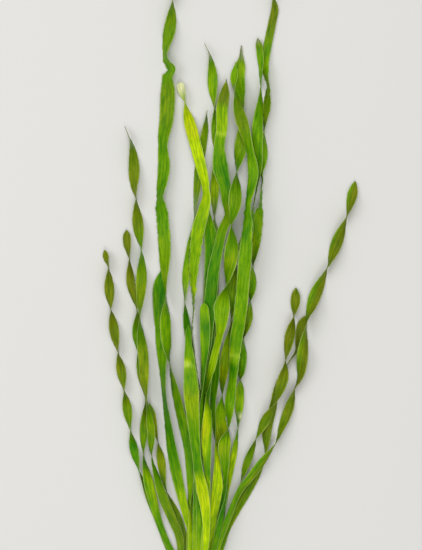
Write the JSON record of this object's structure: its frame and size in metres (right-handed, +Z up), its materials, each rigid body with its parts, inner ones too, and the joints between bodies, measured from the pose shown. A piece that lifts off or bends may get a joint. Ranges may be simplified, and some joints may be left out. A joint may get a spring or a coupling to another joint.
{
  "type": "vallisneria plant",
  "caption": "Uprooted ribbon-leaved aquarium plant lying flat, its twisted leaves fanning from a short crown with thin roots.",
  "frame": {"origin": "on the surface the plant lies on, under the middle of its bounding box", "axes": "+Y from the roots towards the leaf tips, +Z up from the surface, +X to the right with the tips pointing away"},
  "size_m": [0.1534, 0.4548, 0.0206],
  "materials": {
    "leaf_green": "fresh yellow-green leaf, semi-gloss",
    "leaf_dark": "fresh mid-green leaf, semi-gloss",
    "leaf_olive": "thin olive leaf, semi-gloss",
    "leaf_yellow": "yellowing leaf, semi-gloss",
    "crown_pale": "pale fleshy crown, satin",
    "root_cream": "cream fibrous root, matt"
  },
  "bodies": {
    "root": {"tall_right_leaf": "leaf_green", "straight_middle_leaf": "leaf_green", "bent_right_leaf": "leaf_green", "short_right_leaf": "leaf_olive", "middle_right_leaf": "leaf_olive", "far_right_leaf": "leaf_olive", "far_left_leaf": "leaf_olive", "low_left_leaf": "leaf_olive", "small_left_leaf": "leaf_olive", "upper_left_leaf": "leaf_green", "slim_middle_leaf": "leaf_olive", "dark_left_leaf": "leaf_dark", "tall_left_leaf": "leaf_green", "broad_middle_leaf": "leaf_green", "yellow_leaf": "leaf_yellow", "hooked_middle_leaf": "leaf_dark", "small_front_leaf": "leaf_green", "long_twisted_leaf": "leaf_green", "broad_front_leaf": "leaf_green", "front_right_leaf": "leaf_green", "crown": "crown_pale", "root_1": "root_cream", "root_2": "root_cream", "root_3": "root_cream", "root_4": "root_cream", "root_5": "root_cream", "root_6": "root_cream", "root_7": "root_cream", "root_8": "root_cream"}
  },
  "joints": []
}
